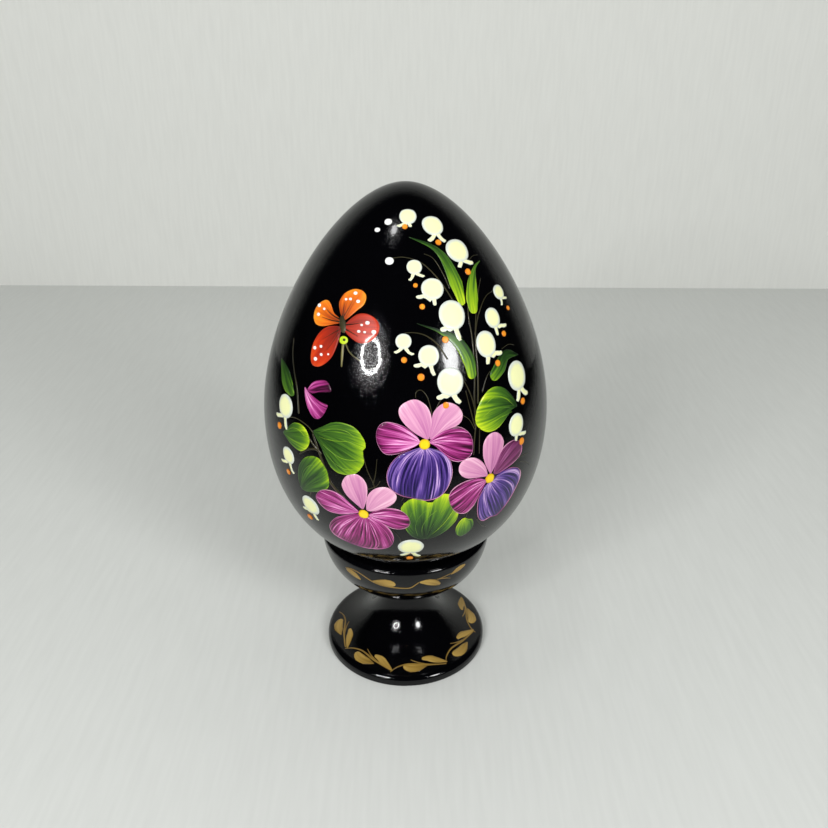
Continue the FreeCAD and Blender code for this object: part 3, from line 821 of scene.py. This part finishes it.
# The butterfly's body and its two feelers: spine, half widths in mm, shades.
BODY_STROKE = ([(-30.7, 80.2), (-29.2, 78.8), (-27.6, 77.2)], (0.35, 0.7, 0.4), (0.2, 0.5))
FEELERS = [
    ([(-27, 75.4), (-26.4, 73.3), (-25.8, 71.1)], (0.2, 0.24, 0.1), (0.95, 0.85)),
    ([(-25.9, 75.5), (-23, 73.9), (-18, 72.7)], (0.1, 0.1, 0.05), (0.9, 0.8)),
]
# Its head and the dark touch on it: centre, half size in mm.
HEAD, HEAD_TOUCH = ((-27.0, 75.9), (0.86, 0.74)), ((-26.6, 76.0), (0.34, 0.3))


def paint_pansies():
    for name, (eye, petals) in PANSIES.items():
        coat = Coat(name, EGG, ["pink", "magenta", "plum", "purple", "yellow_dot"])
        for paint, layer, base, outline, tone in petals:
            coat.petal(base, outline, paint, layer, tone)
            if paint != "pink":
                coat.ribbon(outline, LINER_WIDTHS, "pink", layer + 1, LINER_TONE, columns=5)
        coat.spot(eye, (PANSY_EYE, PANSY_EYE), "yellow_dot", EYE_COAT, tone=0.6)
        coat.build("egg")


def paint_bud():
    coat = Coat("pansy_bud", EGG, ["magenta"])
    for paint, layer, base, outline, tone in BUD_PETALS:
        coat.petal(base, outline, paint, layer, tone)
    coat.build("egg")


def paint_butterfly():
    coat = Coat("butterfly", EGG, ["wing_orange", "wing_red", "olive", "leaf", "white"])
    for paint, layer, base, outline, tone, side in WINGS:
        coat.petal(base, outline, paint, layer, tone, side)
    for longitude, along, size in WING_DOTS:
        coat.spot((longitude, along), (size, size * DOT_SQUASH), "white", layer=5, tone=0.75, count=7)
    for spine in WING_VEINS:
        coat.ribbon(spine, VEIN_WIDTHS, "olive", layer=4, tone=VEIN_TONE, columns=5)
    spine, widths, tone = BODY_STROKE
    coat.ribbon(spine, widths, "olive", layer=5, tone=tone)
    coat.spot(*HEAD, "leaf", layer=4, tone=0.93, count=9)
    coat.spot(*HEAD_TOUCH, "olive", layer=5, tone=0.1, count=7)
    for spine, widths, tone in FEELERS:
        coat.ribbon(spine, widths, "olive", layer=3, tone=tone)
    coat.build("egg")


# ---------------------------------------------------------------- gilt scroll on the stand

# One turn of the foot's scroll: longitudes from the turn's middle, mm up the foot from its
# lower edge. Then half widths in mm and shades.
FOOT_SCROLL = [
    ([(-19.5, 3.3), (-15, 4.8), (-7, 5.7), (1, 5.6), (8, 5.1), (16, 4.6), (26, 3.6)],
     (0.1, 0.2, 0.22, 0.16, 0.1), (0.35, 0.45)),
    ([(-9.5, 4.9), (-4, 4.3), (2, 4.2), (11, 4.4)], (0.7, 1.15, 1, 0.1), (0.75, 0.4)),
    ([(7.5, 6.5), (14, 6.2), (20, 5.2), (27.5, 3.7)], (0.35, 0.85, 0.6, 0.1), (0.75, 0.5)),
    ([(-3, 6.8), (3, 6), (9, 5.3), (15.5, 4.7)], (0.08, 0.16, 0.12), (0.3, 0.4)),
]
FOOT_MIDDLES = (-83, -37, 8, 53, 97)
# A hand's unsteadiness: how far a stroke strays, in mm, and how that varies.
SWAY, SWAY_PER_TURN, SWAY_PER_WIDTH = 0.25, 2.3, 5.0

# The bowl's scroll: longitudes and heights in mm, half widths in mm, shades.
BOWL_SCROLL = [
    ([(-44, 29.2), (-38, 29.9), (-32, 29.8), (-26, 29), (-21, 28.2), (-14, 27.7),
      (0, 27.4), (4, 27.6), (7.5, 28.6), (9.5, 29.2)],
     (0.1, 0.16, 0.2, 0.16, 0.2, 0.2, 0.16, 0.12), (0.35, 0.5, 0.4)),
    ([(-43, 28.9), (-37.5, 28.8), (-31, 27.7)], (0.5, 1.15, 0.3), (0.5, 0.6)),
    ([(-22, 28.5), (-16, 28.7), (-10.5, 28.7), (-6, 28.4)], (0.1, 0.75, 1.1, 0.8), (0.45, 0.75)),
    ([(9.5, 29.1), (14.5, 28.9), (20, 28.2), (24.5, 27.2)], (0.2, 0.9, 1, 0.35), (0.7, 0.5)),
    ([(21, 29.2), (27, 28.9), (32, 28.2)], (0.08, 0.14, 0.06), (0.4, 0.4)),
    ([(23, 29.2), (28, 29.5), (33, 29.7)], (0.08, 0.14, 0.08), (0.4, 0.4)),
    ([(31.5, 29.4), (37, 30), (43.5, 30.4)], (0.15, 0.8, 0.3), (0.5, 0.65)),
]
GILT_PACE = 0.5    # mm between the rows of a gilt stroke


def paint_gilt():
    """The foot's scroll runs round its front and sides; the bowl's lies on its front."""
    foot = Coat("gilt_foot_scroll", FOOT, ["gilt"])
    for turn, middle in enumerate(FOOT_MIDDLES):
        for spine, widths, tone in FOOT_SCROLL:
            sway = SWAY * math.sin(SWAY_PER_TURN * turn + SWAY_PER_WIDTH * widths[0])
            places = [(middle + longitude, along + sway) for longitude, along in spine]
            foot.ribbon(places, widths, "gilt", 0, tone, pace=GILT_PACE)
    foot.build("stand")
    bowl = Coat("gilt_bowl_scroll", BOWL, ["gilt"])
    for spine, widths, tone in BOWL_SCROLL:
        places = [(longitude, BOWL.along_of(height)) for longitude, height in spine]
        bowl.ribbon(places, widths, "gilt", 0, tone, pace=GILT_PACE)
    bowl.build("stand")


paint_stems()
paint_leaves()
paint_pansies()
paint_bud()
paint_butterfly()
paint_bells()
paint_gilt()

# ---------------------------------------------------------------- studio

# The camera's place, tilt down and roll in degrees, lens and sensor in mm, reach in metres.
CAMERA_AT = Vector((1.8, -163.4, 141.9)) * MM
CAMERA_PITCH, CAMERA_ROLL = 26.66, 0.24
CAMERA_LENS, CAMERA_SENSOR = 36.8, 36.0
CAMERA_NEAR, CAMERA_FAR = 0.01, 20.0

# Sizes in metres; the wall stands WALL_AT behind the egg.
FLOOR_SHADE, FLOOR_HALF = srgb(201, 203, 200), 4.0
WALL_SHADE = srgb(208, 209, 205)
WALL_AT, WALL_HALF, WALL_TOP = 0.27, 0.8, 0.7
LAID_GRAIN = (700, 60, 60)    # noise cells per metre in the card's grain

# In reflections, floor and wall fade out between two distances in metres; the third number
# is how faint they already are at the first.
FLOOR_FADE = 0.07, 0.28, 0.42
FLOOR_FADE_FRONT = 0.75       # how much sooner the floor fades in front of the egg
WALL_FADE = 0.35, WALL_HALF, 0.56
WALL_FADE_SHAPE = (1.25, 0.0, 1.1)
ROOM_COLOUR, ROOM_LIGHT, DARK_ROOM = (0.95, 0.96, 0.94, 1.0), 0.5, 0.002

# Lamps: (azimuth, elevation) in degrees seen from the egg, 0 being the camera's side and 90
# being +X; distances, sizes and radii in metres; a glow is a lamp's brightness.
LAMP_AIM, LAMP_FAR = Vector((0, 0, 0.07)), 0.55
RING_LAMP, RING_GLOW = (-30, 23), 115
RING_BULBS, RING_BULB = 24, 0.014
RING_RADIUS, RING_SQUASH = 0.073, 0.82
RIGHT_LAMP, RIGHT_SIZE, RIGHT_GLOW = (40, 21), 0.12, 24
TOP_LAMP, TOP_SIZE, TOP_GLOW = (-48, 74), 0.06, 16
SOFT_LAMPS, SOFT_SIZE = [((-32, 33), 6.6), ((32, 33), 7.4)], 0.2    # each: its direction and glow


def make_camera():
    data = bpy.data.cameras.new("camera")
    data.lens, data.sensor_width = CAMERA_LENS, CAMERA_SENSOR
    data.clip_start, data.clip_end = CAMERA_NEAR, CAMERA_FAR
    camera = bpy.data.objects.new("camera", data)
    bpy.context.scene.collection.objects.link(camera)
    tilt = Matrix.Rotation(math.radians(90 - CAMERA_PITCH), 4, "X")
    roll = Matrix.Rotation(math.radians(CAMERA_ROLL), 4, "Z")
    camera.matrix_world = Matrix.Translation(CAMERA_AT) @ tilt @ roll
    bpy.context.scene.camera = camera


def direction(azimuth, elevation):
    """From the egg outwards: azimuth 0 is towards the camera's side, 90 is +X."""
    turn, rise = math.radians(azimuth), math.radians(elevation)
    return Vector((math.sin(turn) * math.cos(rise), -math.cos(turn) * math.cos(rise), math.sin(rise)))


def make_lamp(name, place, size, glow, mirrored=True):
    """A round soft lamp of the given diameter that faces the egg; the lacquer can ignore it."""
    data = bpy.data.lights.new(name, "AREA")
    data.shape, data.size = "DISK", size
    data.energy = glow * math.pi * math.pi * (size / 2) ** 2
    lamp = bpy.data.objects.new(name, data)
    lamp.location = place
    lamp.rotation_euler = (place - LAMP_AIM).to_track_quat("Z", "Y").to_euler()
    lamp.visible_glossy = mirrored
    bpy.context.scene.collection.objects.link(lamp)


def lamp_place(where):
    return LAMP_AIM + direction(*where) * LAMP_FAR


def make_lamps():
    """Two lamps before the egg, the left one a ring, a small one overhead and soft light."""
    way = direction(*RING_LAMP)
    aside = way.cross(Vector((0, 0, 1))).normalized()
    rise = aside.cross(way)
    for step in range(RING_BULBS):
        turn = 2 * math.pi * step / RING_BULBS
        spread_out = RING_RADIUS * (aside * math.cos(turn) + rise * math.sin(turn) * RING_SQUASH)
        make_lamp(f"lamp_left_{step}", lamp_place(RING_LAMP) + spread_out, RING_BULB, RING_GLOW)
    make_lamp("lamp_right", lamp_place(RIGHT_LAMP), RIGHT_SIZE, RIGHT_GLOW)
    make_lamp("lamp_top", lamp_place(TOP_LAMP), TOP_SIZE, TOP_GLOW)
    for number, (where, glow) in enumerate(SOFT_LAMPS):
        make_lamp(f"lamp_soft_{number}", lamp_place(where), SOFT_SIZE, glow, mirrored=False)


def pale_stock(name, shade):
    """Matt pale card with a faint laid grain; also gives the places that it is worked out from."""
    nodes = Nodes(name)
    place = nodes.add("ShaderNodeTexCoord").outputs["Object"]
    grain = nodes.noise(nodes.stretch(place, LAID_GRAIN), 1.0, detail=2.0)
    tint = nodes.ramp(grain, [(0.3, shade), (0.7, lighter(shade, 1.04))])
    nodes.link(tint, nodes.shader.inputs["Base Color"])
    nodes.set(Roughness=0.85, Specular_IOR_Level=0.1)
    return nodes, place


def make_sheet_object(name, corners, material):
    mesh = bpy.data.meshes.new(name)
    mesh.from_pydata(corners, [], [(0, 1, 2, 3)])
    mesh.materials.append(material)
    sheet = bpy.data.objects.new(name, mesh)
    bpy.context.scene.collection.objects.link(sheet)


def fade_in_reflections(nodes, distance, near, far, faintness):
    """Let the lacquer's reflection of a sheet die away between two distances."""
    fade = nodes.add("ShaderNodeMapRange", interpolation_type="SMOOTHSTEP",
                     From_Min=near, From_Max=far, To_Min=faintness)
    nodes.link(distance, fade.inputs["Value"])
    glossy = nodes.add("ShaderNodeLightPath").outputs["Is Glossy Ray"]
    clear = nodes.add("ShaderNodeBsdfTransparent")
    mix = nodes.add("ShaderNodeMixShader")
    nodes.link(nodes.math("MULTIPLY", fade.outputs["Result"], glossy), mix.inputs["Fac"])
    nodes.link(nodes.shader.outputs[0], mix.inputs[1])
    nodes.link(clear.outputs[0], mix.inputs[2])
    nodes.link(mix.outputs[0], nodes.tree.nodes["Material Output"].inputs["Surface"])


def make_floor():
    """A pale tabletop. In reflections it ends near the egg, soonest in front of it."""
    nodes, place = pale_stock("pale_tabletop", FLOOR_SHADE)
    distance = nodes.add("ShaderNodeVectorMath", operation="LENGTH")
    nodes.link(place, distance.inputs[0])
    split = nodes.add("ShaderNodeSeparateXYZ")
    nodes.link(place, split.inputs[0])
    behind = nodes.math("MULTIPLY", split.outputs["Y"], FLOOR_FADE_FRONT)
    reach = nodes.math("SUBTRACT", distance.outputs["Value"], behind)
    fade_in_reflections(nodes, reach, *FLOOR_FADE)
    corners = [(-FLOOR_HALF, -FLOOR_HALF, 0), (FLOOR_HALF, -FLOOR_HALF, 0),
               (FLOOR_HALF, FLOOR_HALF, 0), (-FLOOR_HALF, FLOOR_HALF, 0)]
    make_sheet_object("floor", corners, nodes.material)


def make_wall():
    """A pale wall behind. In reflections it dies away towards its sides and top."""
    nodes, place = pale_stock("pale_wall", WALL_SHADE)
    distance = nodes.add("ShaderNodeVectorMath", operation="LENGTH")
    nodes.link(nodes.stretch(place, WALL_FADE_SHAPE), distance.inputs[0])
    fade_in_reflections(nodes, distance.outputs["Value"], *WALL_FADE)
    corners = [(-WALL_HALF, WALL_AT, 0), (WALL_HALF, WALL_AT, 0),
               (WALL_HALF, WALL_AT, WALL_TOP), (-WALL_HALF, WALL_AT, WALL_TOP)]
    make_sheet_object("wall", corners, nodes.material)


def make_world():
    """Even pale light. Reflections see a dark room instead, as the lacquer does."""
    world = bpy.data.worlds.new("studio")
    world.use_nodes = True
    tree = world.node_tree
    tree.nodes.clear()
    path = tree.nodes.new("ShaderNodeLightPath")
    mix = tree.nodes.new("ShaderNodeMix")
    mix.data_type = "FLOAT"
    mix.inputs["A"].default_value = ROOM_LIGHT
    mix.inputs["B"].default_value = DARK_ROOM
    tree.links.new(path.outputs["Is Glossy Ray"], mix.inputs["Factor"])
    background = tree.nodes.new("ShaderNodeBackground")
    background.inputs["Color"].default_value = ROOM_COLOUR
    tree.links.new(mix.outputs["Result"], background.inputs["Strength"])
    output = tree.nodes.new("ShaderNodeOutputWorld")
    tree.links.new(background.outputs[0], output.inputs["Surface"])
    bpy.context.scene.world = world


make_camera()
make_floor()
make_wall()
make_world()
make_lamps()
bpy.context.scene.view_settings.view_transform = "Standard"
